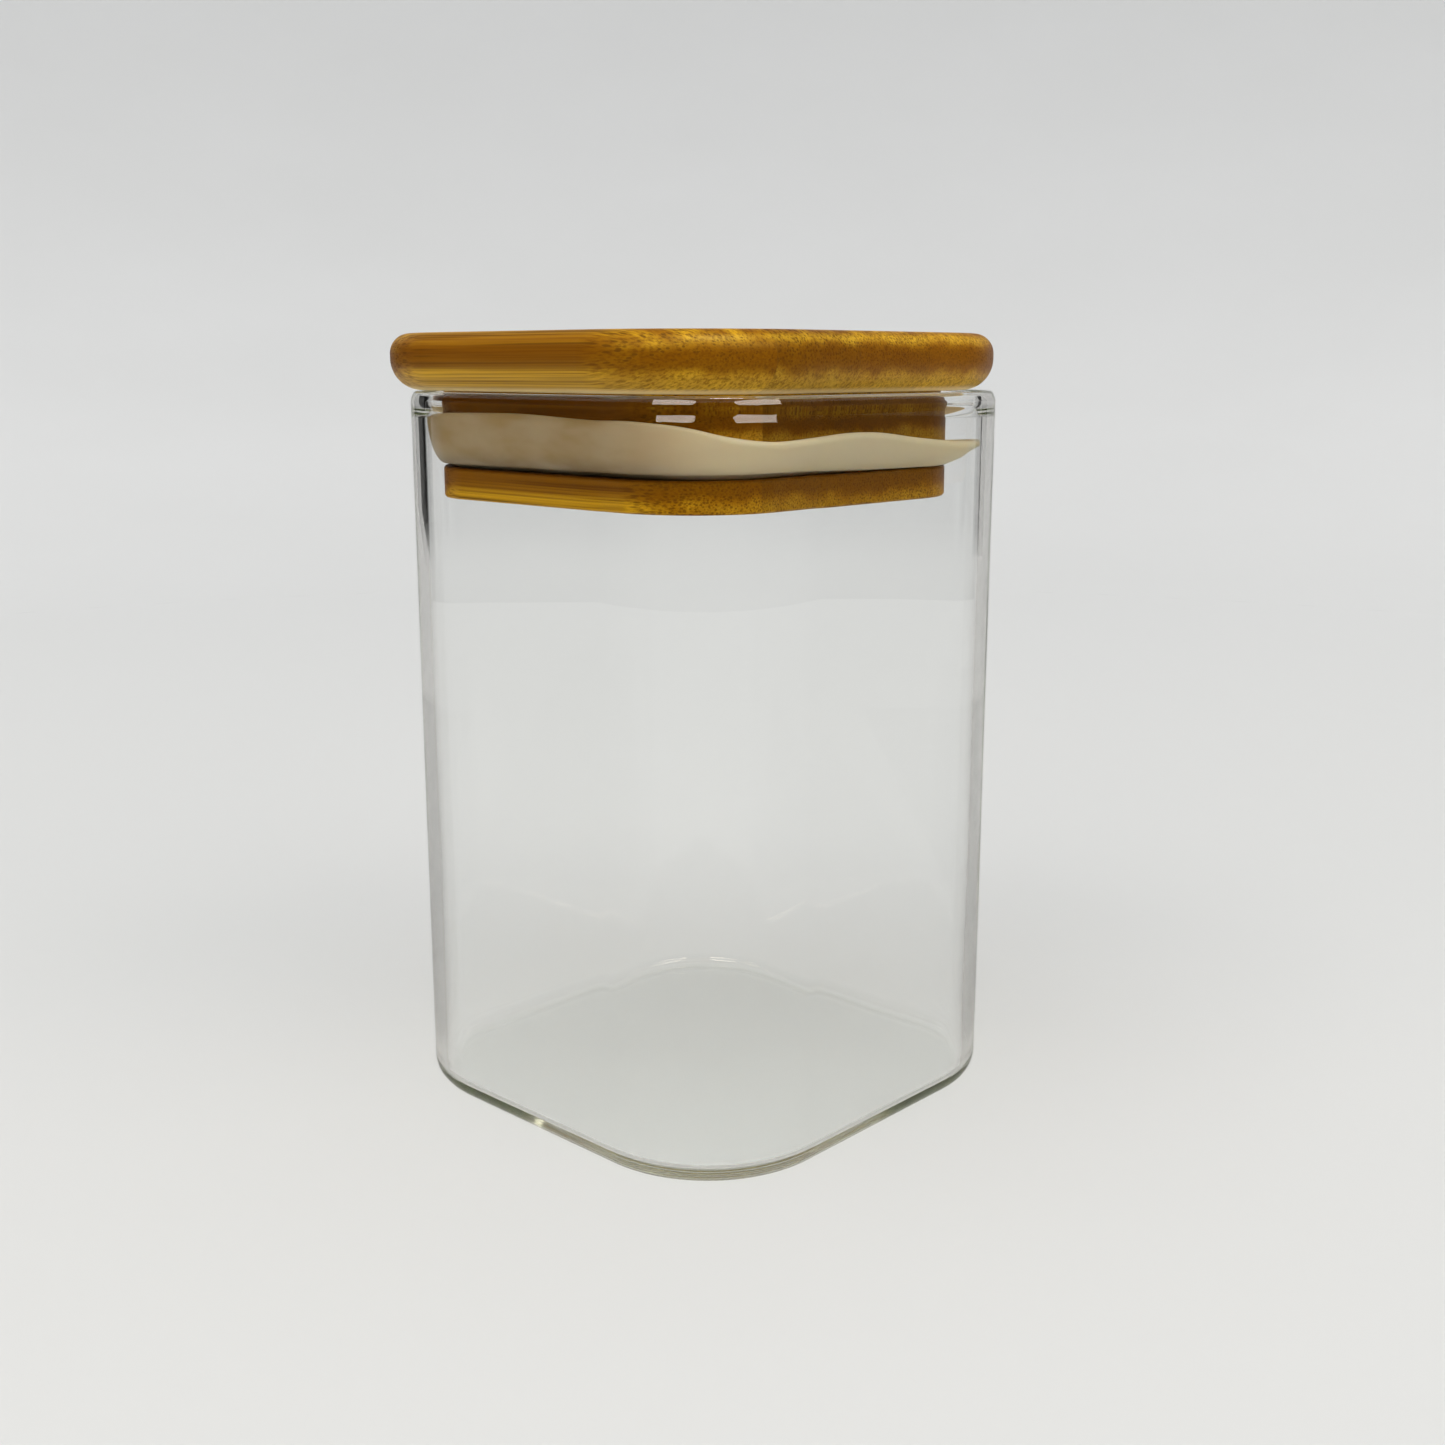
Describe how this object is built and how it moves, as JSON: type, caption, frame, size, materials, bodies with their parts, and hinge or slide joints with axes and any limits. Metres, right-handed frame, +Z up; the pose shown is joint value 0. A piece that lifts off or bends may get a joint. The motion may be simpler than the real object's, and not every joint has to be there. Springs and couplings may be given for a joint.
{
  "type": "food canister",
  "caption": "Square clear glass storage jar with rounded corners and a push-in bamboo lid sealed by a silicone lip ring.",
  "frame": {"origin": "centre of the jar's base, on the surface that it stands on", "axes": "+Z up through the lid; X and Y square to the jar's sides, with X along the grain of the bamboo"},
  "size_m": [0.1036, 0.1036, 0.157],
  "materials": {
    "glass": "clear, fire-polished rim",
    "bamboo": "satin, caramel-toned, grain along X",
    "silicone": "milky, translucent, soft sheen"
  },
  "bodies": {
    "jar": {"glass_jar": "glass"},
    "lid": {"lid_plate_strip_1": "bamboo", "lid_plate_strip_2": "bamboo", "lid_plate_strip_3": "bamboo", "lid_plate_strip_4": "bamboo", "lid_plate_strip_5": "bamboo", "plug_upper_strip_1": "bamboo", "plug_upper_strip_2": "bamboo", "plug_upper_strip_3": "bamboo", "plug_upper_strip_4": "bamboo", "plug_upper_strip_5": "bamboo", "plug_lower_strip_1": "bamboo", "plug_lower_strip_2": "bamboo", "plug_lower_strip_3": "bamboo", "plug_lower_strip_4": "bamboo", "plug_lower_strip_5": "bamboo", "silicone_seal": "silicone"}
  },
  "joints": [
    {"name": "lid_lift", "type": "slide", "parent": "jar", "child": "lid", "axis": [0, 0, 1], "range_m": [0, 0.12]}
  ]
}
